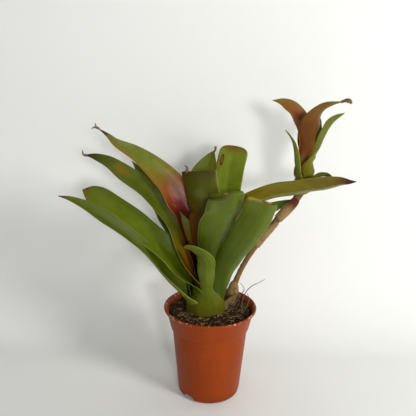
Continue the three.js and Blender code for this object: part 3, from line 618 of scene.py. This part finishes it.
GREEN = [(0.0, "566414"), (0.5, "546618"), (1.0, "5e6c2a")]
# Each look sets the strength and colour of the painted highlight along the leaf's edges, and of the bloom
# tint with its painted sheen.
LOOKS = {
    "leaf_left_low": {"along": [(0.0, "9aa25a"), (0.15, "7e8844"), (0.32, "5a681e"), (0.7, "4e5c14"),
        (0.9, "5c6428"), (1.0, "6c5c34")],
        "edge_highlight": 0.6, "wave": 0.4, "tip": (0.985, "4e3824"), "rough": 0.42},
    "leaf_left_mid": {"along": [(0.0, "4c5412"), (0.2, "525f10"), (0.45, "61701a"), (0.75, "68771f"),
        (0.92, "68702e"), (1.0, "6c6234")],
        "scars": [(0.85, 0.985, 0.12, 0.014, "7a4a30")], "wave": 0.5, "rough": 0.36},
    "leaf_left_curl": {"along": [(0.0, "6c3a06"), (0.22, "744a0a"), (0.36, "66560e"), (0.5, "58601a"),
        (0.84, "545c1c"), (0.92, "4a501c"), (1.0, "3e3a1a")],
        "patches": [(0.6, 0.82, 0.3, 0.06, "7c6612")], "tip": (0.985, "3c2a1a"), "wave": 0.6},
    "leaf_left_back_short": {"along": [(0.0, "5c6a14"), (0.5, "586c18"), (1.0, "566420")], "wave": 0.4},
    "leaf_left_high": {"along": [(0.0, "4c0c18"), (0.42, "5c0e1c"), (0.5, "7c1820"), (0.57, "8c440e"),
        (0.64, "80700e"), (0.75, "72781c"), (0.9, "767a40"), (1.0, "62502e")],
        "edges": [(0.35, 0.08, "9a5a0c", 0.6)], "edge_span": (0.48, 0.6),
        "edge_highlight": 0.35, "edge_highlight_colour": "a8806a", "gloss": 0.35, "rough": 0.34,
        "tip": (0.965, "40281a"), "wave": 0.5, "bloom_and_sheen": 0.1, "shift": 0.08},
    "leaf_left_edge": {"along": [(0.0, "4e5e12"), (0.5, "4c5e18"), (1.0, "5e6c2c")], "edge_highlight": 0.7},
    "leaf_centre_dark": {"along": [(0.0, "5c1408"), (0.4, "6c2606"), (0.58, "74400a"), (0.74, "5c4a0e"),
        (0.88, "565812"), (1.0, "4c4420")],
        # The grey patch near the top is a painted sheen.
        "patches": [(0.55, 0.84, 0.2, 0.05, "6a6c50")],
        "scars": [(0.85, 0.985, 0.1, 0.02, "6b4230")], "rough": 0.36},
    "leaf_centre_front": {"along": [(0.0, "3c420a"), (0.35, "3c440a"), (0.6, "485410"), (0.85, "4e5c16"),
        (0.96, "4c5818"), (1.0, "5c5830")],
        "edges": [(0.5, 0.15, "68763a", 0.7)], "edge_span": (0.5, 0.75),
        "scars": [(0.5, 0.99, 0.12, 0.008, "8a7048")], "edge_highlight": 0.7, "wave": 0.7},
    "leaf_back_tall": {"along": [(0.0, "4c1c0c"), (0.3, "5a3c10"), (0.45, "67761e"), (0.75, "748228"),
        (0.95, "808a40"), (1.0, "7a5c2c")],
        "scars": [(0.16, 0.9, 0.05, 0.03, "8f5548"), (0.03, 0.76, 0.06, 0.03, "7c5434")],
        "edge_highlight": 0.4},
    "leaf_back_small": {"along": [(0.0, "4c1c0c"), (0.35, "5a3c10"), (0.6, "626e1c"), (0.9, "6c7230"),
        (1.0, "64643a")],
        "edges": [(0.75, 0.98, "6c4c22", 0.6)], "edge_highlight": 0.3},
    "leaf_right_front": {"along": [(0.0, "56621c"), (0.2, "42500c"), (0.55, "43520c"), (0.8, "505c18"),
        (0.97, "5a6424"), (1.0, "a08464")],
        "edges": [(0.42, 0.1, "6c7850", 0.65)],
        "scars": [(0.3, 1.0, 0.25, 0.014, "a8846a")], "edge_highlight": 0.8, "wave": 0.4},
    "leaf_right_long": {"along": [(0.0, "7c5a06"), (0.3, "86700a"), (0.5, "7c6a0e"), (0.75, "70641a"),
        (0.9, "6a581e"), (0.95, "4c2418"), (1.0, "3e1616")],
        "edges": [(0.52, 0.3, "8a9068", 0.85)], "edge_highlight": 0.4, "tip": (0.975, "3e1a1a"),
        "wave": 0.6},
    "leaf_right_back": {"along": [(0.0, "4c5e10"), (0.5, "506414"), (1.0, "5e6e2a")], "edge_highlight": 0.8},
    "leaf_front_short": {"along": [(0.0, "5c5a10"), (0.2, "606414"), (0.4, "5e6a24"), (0.7, "606c2c"),
        (0.9, "646c34"), (1.0, "9a6428")],
        "edge_highlight": 0.4, "bloom_and_sheen": 0.25, "rough": 0.45, "wave": 0.3},
    "leaf_back_low": {"along": GREEN},
    "leaf_back_right": {"along": GREEN},
    "pup_leaf_centre": {"along": [(0.0, "7c7216"), (0.2, "74600e"), (0.36, "6a3806"), (0.55, "6a380c"),
        (0.7, "744824"), (0.86, "745430"), (1.0, "7c8038")],
        "edges": [(0.4, 0.1, "7c6a3c", 0.6)], "shift": 0.2,
        "edge_highlight": 0.5, "edge_highlight_colour": "a09870", "rough": 0.36},
    "pup_leaf_left": {"along": [(0.0, "8c1816"), (0.42, "b02c1c"), (0.58, "a8401c"), (0.75, "8c5024"),
        (0.95, "846840"), (1.0, "5c4c34")],
        "edges": [(0.7, 0.98, "8c6c1c", 0.6)], "shift": 0.2},
    "pup_leaf_right": {"along": [(0.0, "6c5c1a"), (0.4, "66641c"), (0.7, "686c26"), (1.0, "646c28")],
        "shift": 0.3},
    "pup_leaf_left_low": {"along": [(0.0, "5c1c12"), (0.15, "6c6418"), (0.5, "747a2c"), (1.0, "6a743a")],
        "edges": [(0.45, 0.2, "a0a664", 0.5)]},
    "pup_leaf_right_low": {"along": [(0.0, "76681c"), (0.5, "787228"), (1.0, "848c58")],
        "edges": [(0.7, 0.98, "7c3420", 0.6)]},
    "pup_bract": {"along": [(0.0, "626c18"), (0.6, "667422"), (1.0, "5c5a28")],
        "edges": [(0.8, 0.99, "70281c", 0.6)]},
    "pup_leaf_back": {"along": [(0.0, "5c1c10"), (0.6, "5c3c1a"), (1.0, "5c5c2c")]},
}
# Multiplies every leaf's colour; grey tones laid over it as streaks and mottle.
LEAF_DEPTH = (0.76, 0.79, 0.3, 1)
STREAK_TONES = [(0.3, (0.36, 0.36, 0.34)), (0.7, (0.62, 0.62, 0.6))]
MOTTLE_TONES = [(0.3, (0.4, 0.4, 0.38)), (0.7, (0.6, 0.6, 0.58))]
RED_LEAVES = ("leaf_left_high", "pup_leaf_centre", "pup_leaf_left", "pup_leaf_back")
DARK_LEAVES = ("leaf_centre_dark", "leaf_left_curl")


def leaf_slot(name):
    if name in RED_LEAVES:
        return "leaf_red"
    return "leaf_dark" if name in DARK_LEAVES else "leaf_green"


def make_leaves():
    for plant, specs, thickness in ((ROSETTE, LEAVES, LEAF_THICKNESS),
                                     (PUP, PUP_LEAVES, PUP_LEAF_THICKNESS)):
        for name, spec in specs.items():
            look = LOOKS[name]
            leaf = leaf_mesh(name + "_blade", plant, spec, thickness, look)
            leaf.data.materials.append(leaf_material(name + "_skin", look))
            place(leaf, leaf_slot(name), name)


# ---- pot and soil ---------------------------------------------------------------

def circle(radius, z, segments):
    angles = [math.tau * i / segments for i in range(segments)]
    return [(radius * math.cos(a), radius * math.sin(a), z) for a in angles]


def turned(name, profile, segments=180):
    """A solid of revolution from (radius, height) pairs; the ends lie on the axis."""
    verts, faces, rows = [], [], []
    for radius, z in profile:
        if radius == 0:
            rows.append([len(verts)])
            verts.append((0, 0, z))
            continue
        rows.append(list(range(len(verts), len(verts) + segments)))
        verts += circle(radius, z, segments)
    for low, high in zip(rows, rows[1:]):
        for i in range(segments):
            j = (i + 1) % segments
            corners = [low[i % len(low)], low[j % len(low)], high[j % len(high)], high[i % len(high)]]
            faces.append(tuple(dict.fromkeys(corners)))
    return outward(object_from(name, verts, faces))


def rounded(points, radius, steps=3):
    """The open outline with each inner corner replaced by a small arc."""
    out = [points[0]]
    for before, corner, after in zip(points, points[1:], points[2:]):
        a, b, c = Vector(before), Vector(corner), Vector(after)
        reach = min(radius, (a - b).length * 0.45, (c - b).length * 0.45)
        start, end = b + (a - b).normalized() * reach, b + (c - b).normalized() * reach
        for k in range(steps + 1):
            u = k / steps
            q = start * (1 - u) ** 2 + b * 2 * u * (1 - u) + end * u * u
            out.append((q.x, q.y))
    out.append(points[-1])
    return out


def cut(target, tool):
    """Boolean difference, applied, with the tool removed."""
    modifier = target.modifiers.new("cut", "BOOLEAN")
    modifier.operation = "DIFFERENCE"
    modifier.solver = "EXACT"
    modifier.object = tool
    bake_modifiers(target)
    bpy.data.objects.remove(tool)


def bake_modifiers(obj):
    """The mesh with its modifiers applied."""
    evaluated = obj.evaluated_get(bpy.context.evaluated_depsgraph_get())
    mesh = bpy.data.meshes.new_from_object(evaluated)
    obj.modifiers.clear()
    obj.data = mesh


def arch_tool(azimuth):
    """A round-topped bar that points outwards through the foot."""
    w, h = ARCH_WIDTH, ARCH_HEIGHT
    outline = [(-0.5, -1), (0.5, -1), (0.5, 0.35)]
    outline += [(0.5 * math.cos(a), 0.35 + 0.65 * math.sin(a)) for a in
                [math.pi * k / 12 for k in range(1, 12)]]
    outline += [(-0.5, 0.35)]
    verts = [(33.5, x * w, z * h) for x, z in outline] + [(47, x * w, z * h) for x, z in outline]
    n = len(outline)
    faces = [tuple(range(n)), tuple(range(n, 2 * n))[::-1]]
    faces += [(i, (i + 1) % n, n + (i + 1) % n, n + i) for i in range(n)]
    turn = Matrix.Rotation(math.radians(azimuth), 3, "Z")
    return outward(object_from("arch_tool", [turn @ Vector(v) for v in verts], faces, smooth_shade=False))


def make_pot():
    step = POT_HEIGHT - COLLAR_HEIGHT
    groove = 0.5
    profile = [
        (0, 0.0), (30, 0), (31, 2.2), (35.5, 2.2), (36.3, 0), (BODY_FOOT - 1.4, 0), (BODY_FOOT, 2.2),
        (BODY_TOP, step - 1.6), (BODY_TOP - groove, step - 0.6), (COLLAR_FOOT - 0.6, step),
        (COLLAR_FOOT, step + 1.4), (COLLAR_TOP, POT_HEIGHT - RIM_BAND - 1),
        (RIM_RADIUS - 0.2, POT_HEIGHT - RIM_BAND), (RIM_RADIUS, POT_HEIGHT - 0.9),
        (RIM_RADIUS - 0.6, POT_HEIGHT), (RIM_RADIUS - 2, POT_HEIGHT),
        (COLLAR_TOP - WALL, POT_HEIGHT - RIM_BAND - 1.2), (COLLAR_FOOT - WALL, step + 0.6),
        (BODY_TOP - WALL, step - 1.2), (BODY_FOOT - WALL + 0.3, FLOOR), (0, FLOOR),
    ]
    pot = turned("pot_shell", [profile[0]] + rounded(profile[1:-1], 1.0) + [profile[-1]])
    for k in range(3):
        cut(pot, arch_tool(ARCH_FIRST + 120 * k))
    pot.data.shade_smooth()
    sharp_edges(pot, 40)
    pot.data.materials.clear()
    pot.data.materials.append(pot_material())
    place(pot, "pot_plastic", "pot")


def sharp_edges(obj, degrees):
    """Edges bent by more than this are shaded sharp."""
    bm = bmesh.new()
    bm.from_mesh(obj.data)
    for edge in bm.edges:
        edge.smooth = edge.calc_face_angle(0.0) < math.radians(degrees)
    bm.to_mesh(obj.data)
    bm.free()


def soil_height(x, y):
    """The mix's uneven surface, a little heaped round the plant."""
    r = math.hypot(x, y)
    lumps = noise.fractal(Vector((x * 0.07, y * 0.07, 3.1)), 0.9, 2.1, 5) * 1.5
    heap = 1.2 * math.exp(-((x - 12) ** 2 + (y - 6) ** 2) / 900)
    return SOIL_TOP - 0.4 + lumps + heap - 1.2 * smooth(44, 54, r)


def make_soil():
    """The uneven surface, closed by the inside of the pot."""
    segments = SOIL_SEGMENTS
    verts, faces = [(0, 0, soil_height(0, 0))], []
    for k in range(1, SOIL_RINGS + 1):
        for x, y, _ in circle(SOIL_RADIUS * k / SOIL_RINGS, 0, segments):
            verts.append((x, y, soil_height(x, y)))
    for i in range(segments):
        faces.append((0, 1 + i, 1 + (i + 1) % segments))
    for k in range(SOIL_RINGS - 1):
        for i in range(segments):
            a, b = 1 + k * segments + i, 1 + k * segments + (i + 1) % segments
            faces.append((a, a + segments, b + segments, b))
    above = 1 + (SOIL_RINGS - 1) * segments
    for r, z in SOIL_SIDE:
        base = len(verts)
        verts += circle(r, z, segments)
        for i in range(segments):
            j = (i + 1) % segments
            faces.append((above + i, base + i, base + j, above + j))
        above = base
    faces.append(tuple(range(above, above + segments))[::-1])
    soil = outward(object_from("potting_mix_bulk", verts, faces))
    soil.data.materials.append(soil_material())
    place(soil, "peat", "potting_mix", "crown_stem")


def scatter_spot(rng):
    """A random place on the open soil, clear of the bulb and the wall."""
    while True:
        r, angle = LOOSE_RADIUS * math.sqrt(rng.random()), rng.random() * math.tau
        x, y = r * math.cos(angle), r * math.sin(angle)
        if math.hypot(x - ROSETTE["x"], y - ROSETTE["y"]) > BULB_RADIUS:
            return x, y


def make_crumbs(name, count, size, dark, light, seed, squash=0.75):
    """Lumps of peat and bark, joined as one piece."""
    rng = random.Random(seed)
    bm = bmesh.new()
    for _ in range(count):
        x, y = scatter_spot(rng)
        s = size * (0.4 + rng.random() ** 2 * 1.2)
        scale = Matrix.Diagonal((s * (0.7 + rng.random() * 0.8), s, s * squash, 1))
        spin = Matrix.Rotation(rng.random() * RANDOM_TURN, 4, "Z")
        turn = spin @ Matrix.Rotation(rng.uniform(-0.6, 0.6), 4, "X")
        move = Matrix.Translation((x, y, soil_height(x, y) + s * 0.2))
        new = bmesh.ops.create_icosphere(bm, subdivisions=1, radius=1.0, matrix=move @ turn @ scale)
        for vert in new["verts"]:
            vert.co += Vector((rng.uniform(-1, 1), rng.uniform(-1, 1), rng.uniform(-1, 1))) * s * 0.16
    bmesh.ops.scale(bm, vec=(MM, MM, MM), verts=bm.verts)
    mesh = bpy.data.meshes.new(name)
    bm.to_mesh(mesh)
    bm.free()
    obj = bpy.data.objects.new(name, mesh)
    bpy.context.scene.collection.objects.link(obj)
    obj.data.materials.append(crumb_material(name + "_skin", dark, light))
    place(obj, "peat")


def make_fibres(name, count, length, radius, dark, light, seed):
    """Short strands of coir and root lying on the soil."""
    rng = random.Random(seed)
    strands = []
    for k in range(count):
        x, y = scatter_spot(rng)
        heading, run = rng.random() * RANDOM_TURN, length * (0.4 + rng.random())
        points = []
        for _ in range(4):
            if math.hypot(x, y) > STRAND_LIMIT:
                break
            points.append((x, y, soil_height(x, y) + 0.7 + rng.random() * 1.2))
            heading += rng.uniform(-0.7, 0.7)
            x, y = x + math.cos(heading) * run / 3, y + math.sin(heading) * run / 3
        if len(points) > 2:
            strands.append(tube(f"{name}_{k}", points, [radius, radius * 0.8, radius * 0.4], 8, 5))
    strands = join(name, strands)
    strands.data.materials.append(crumb_material(name + "_skin", dark, light))
    place(strands, "peat")


# ---- stolon, scales, roots --------------------------------------------------------

def arc_sheet(name, rows, thickness, across=14, ragged=0.0, seed=0):
    """A thin closed sheet from rows of (t, point, side, face, half width, radius)."""
    verts, uvs = [], []
    for t, at, side, face, half, radius in rows:
        upper, lower = [], []
        for i in range(across + 1):
            v = 2 * i / across - 1
            angle = half / radius * v
            middle = at + side * (radius * math.sin(angle)) + face * (radius * (1 - math.cos(angle)))
            normal = face * math.cos(angle) - side * math.sin(angle)
            crumple = noise.noise(Vector((v * 3, t * 5, seed))) * ragged
            fray = noise.noise(Vector((v * 9, seed, 2))) * ragged * 4 * smooth(0.7, 1, t)
            middle = middle + normal * crumple + side.cross(face) * -fray
            upper.append(middle + normal * thickness / 2)
            lower.append(middle - normal * thickness / 2)
        verts += upper + lower[::-1]
        uvs += strip_uvs(across, t)
    faces = strip_faces(len(rows), 2 * (across + 1))
    return outward(object_from(name, verts, faces, uvs))


def make_stolon():
    bark = woody_material("stolon_bark", "2e1e0e", "846438")
    stolon = tube("stolon_stem", STOLON_PATH, STOLON_RADII, 90, 20, 0.16)
    stolon.data.materials.append(bark)
    place(stolon, "stem", "stolon")
    papery = woody_material("papery_scale", "4c3416", "9a7e4c")
    red_tipped = woody_material("red_tipped_scale", "4c3416", "9a7e4c", tip="5a2014")
    line = stations(STOLON_PATH, STOLON_STATIONS)
    for k, (name, start, end, radii, arc, facing) in enumerate(SCALES):
        rows = []
        for i in range(SCALE_STEPS + 1):
            share = i / SCALE_STEPS
            _, _, at, tangent = line[round((start + (end - start) * share) * STOLON_STATIONS)]
            angle = math.radians(facing)
            out = Vector((math.cos(angle), math.sin(angle), 0))
            out = (out - tangent * out.dot(tangent)).normalized()
            radius = spread(radii, share)
            half = radius * arc * (1 - 0.75 * share * share)
            rows.append((share, at + out * radius, tangent.cross(-out), -out, half, radius))
        scale = arc_sheet(name + "_sheet", rows, 0.7, ragged=0.35, seed=k)
        scale.data.materials.append(red_tipped if name == "stolon_scale_upper" else papery)
        place(scale, "dry_scale", name)


def make_dry_base():
    rows = []
    for t, _, at, tangent in stations(DRY_BASE_PATH, 24):
        out = Vector(DRY_BASE_FACING)
        out = (out - tangent * out.dot(tangent)).normalized()
        half = spread(DRY_BASE_HALVES, t)
        rows.append((t, at, tangent.cross(-out), -out, half, half / 0.9))
    sheet = arc_sheet("dry_leaf_base_sheet", rows, 0.9, ragged=0.8, seed=9)
    sheet.data.materials.append(woody_material("dry_leaf", "3c2a14", "7c6436"))
    place(sheet, "dry_scale", "dry_leaf_base")


def make_roots():
    skin = woody_material("root_skin", "4a3a2a", "84705a")
    for name, path in ROOTS.items():
        radii = [ROOT_RADIUS, ROOT_RADIUS * 0.8, ROOT_RADIUS * 0.45]
        root = tube(name + "_strand", path, radii, 60, 10, 0.2)
        root.data.materials.append(skin)
        place(root, "root", name)


def make_pup_stem():
    foot, height = PUP_STEM[0][1], PUP_STEM[-1][1] - PUP_STEM[0][1]
    stem = turned("pup_stem_base", rounded(PUP_STEM, 1.5), 60)
    stem.location = (PUP["x"] * MM, PUP["y"] * MM, 0)
    uv = stem.data.uv_layers.new(name="leaf")
    for loop in stem.data.loops:
        at = stem.data.vertices[loop.vertex_index].co
        round_share = math.atan2(at.y, at.x) / math.tau + 0.5
        uv.data[loop.index].uv = (round_share, (at.z / MM - foot) / height)
    stem.data.materials.append(woody_material("pup_bark", "5a3a22", "8a7038"))
    place(stem, "stem", "pup_stem")


# The dry, curled ends of some leaves: leaf, midline, radii
HORNS = [
    ("leaf_left_high", [(-141, 22, 342), (-145, 22, 345), (-146, 22, 349)], [1.4, 1.1, 0.5]),
    ("leaf_left_high", [(-142, 22, 342.5), (-147, 21, 344), (-150, 20, 342)], [1.3, 1.0, 0.5]),
    ("leaf_left_curl", [(-153, 6, 311), (-158, 6, 312), (-159, 6, 317)], [1.5, 1.3, 0.5]),
    ("leaf_back_small", [(1.5, 39, 313), (3.5, 39, 318), (3, 39, 321)], [1.2, 1.3, 1.7]),
    ("leaf_centre_dark", [(-31, -8, 295), (-31, -8, 301), (-34, -8, 303)], [2.2, 1.4, 0.5]),
    ("pup_leaf_centre", [(152, 12, 379.5), (157, 11, 381.5), (162, 10, 381), (164, 10, 378)],
     [1.5, 2.2, 2.6, 1.4]),
]


def make_horns():
    skin = woody_material("dry_tip", "46301a", "7c6438", lengthwise=False, scale=300)
    for k, (leaf, path, radii) in enumerate(HORNS):
        horn = tube("curled_end_%d" % k, path, radii, 16, 10, 0.3, k)
        horn.data.materials.append(skin)
        place(horn, leaf_slot(leaf), leaf)


# ---- light, floor and camera, in metres ----------------------------------------------

def make_stage():
    """White paper: a floor that sweeps up into a wall, open when seen from behind."""
    bend, wall = 75, 100
    line = [(-4000, 0), (bend, 0)]
    line += [(bend + wall * math.sin(a), wall - wall * math.cos(a))
             for a in [math.pi / 2 * k / 24 for k in range(1, 25)]]
    line += [(bend + wall, 4000)]
    verts = [(x, y, z - 0.3) for x in (-4000, 4000) for y, z in line]
    count = len(line)
    faces = [(i, count + i, count + i + 1, i + 1) for i in range(count - 1)]
    sweep = object_from("paper_sweep", verts, faces)
    n = Nodes("white_paper")
    n.shader.inputs["Base Color"].default_value = (0.86, 0.865, 0.85, 1)
    n.shader.inputs["Roughness"].default_value = 0.9
    n.shader.inputs["Specular IOR Level"].default_value = 0.2
    behind = n.add("ShaderNodeNewGeometry").outputs["Backfacing"]
    clear = n.add("ShaderNodeBsdfTransparent").outputs["BSDF"]
    both = n.add("ShaderNodeMixShader", {0: behind, 1: n.shader.outputs["BSDF"], 2: clear})
    n.tree.links.new(both.outputs[0], n.tree.nodes["Material Output"].inputs["Surface"])
    sweep.data.materials.append(n.material)


# name, place, diameter, power, colour
LIGHTS = [
    ("window", (1.3, -1.0, 0.9), 0.5, 17.5, (1.0, 0.99, 0.96)),
    ("front", (0.32, -1.4, 0.48), 0.2, 7.5, (1.0, 0.99, 0.97)),
    ("room_fill", (-1.0, -1.4, 0.9), 1.4, 1.2, (0.96, 0.98, 1.0)),
    ("back_fill", (0.3, 1.3, 1.0), 1.2, 2, (1, 1, 1)),
]
LIGHT_TARGET = (0, 0, 0.2)
CAMERA_AT, LENS, TILT_DOWN, ROLL = (-0.005, -0.577, 0.393), 41.54, 14, 1.0


def area_light(name, location, size, power, colour):
    light = bpy.data.lights.new(name, "AREA")
    light.shape = "DISK"
    light.size = size
    light.energy = power
    light.color = colour
    obj = bpy.data.objects.new(name, light)
    obj.location = location
    obj.rotation_euler = (Vector(LIGHT_TARGET) - Vector(location)).to_track_quat("-Z", "Y").to_euler()
    bpy.context.scene.collection.objects.link(obj)


def make_light():
    bpy.context.scene.view_settings.view_transform = "Standard"
    world = bpy.data.worlds.new("soft_room")
    world.use_nodes = True
    background = world.node_tree.nodes["Background"]
    background.inputs["Color"].default_value = (0.93, 0.94, 0.93, 1)
    background.inputs["Strength"].default_value = 0.23
    bpy.context.scene.world = world
    for light in LIGHTS:
        area_light(*light)


def make_camera():
    camera = bpy.data.cameras.new("camera")
    camera.lens = LENS
    camera.sensor_width = 36
    camera.clip_start = 0.01
    camera.clip_end = 20
    obj = bpy.data.objects.new("camera", camera)
    tilt = Matrix.Rotation(math.radians(90 - TILT_DOWN), 4, "X")
    roll = Matrix.Rotation(math.radians(ROLL), 4, "Z")
    obj.matrix_world = Matrix.Translation(CAMERA_AT) @ tilt @ roll
    bpy.context.scene.collection.objects.link(obj)
    bpy.context.scene.camera = obj


make_camera()
make_stage()
make_light()
make_pot()
make_soil()
make_crumbs("peat_crumbs_dark", 1500, 1.1, "1a110b", "3a281a", 11)
make_crumbs("peat_crumbs_tan", 420, 0.9, "5a4126", "9a7c4e", 12)
make_fibres("coir_fibres", 90, 12, 0.28, "6e5230", "b39a66", 13)
make_stolon()
make_dry_base()
make_roots()
make_pup_stem()
make_leaves()
make_horns()
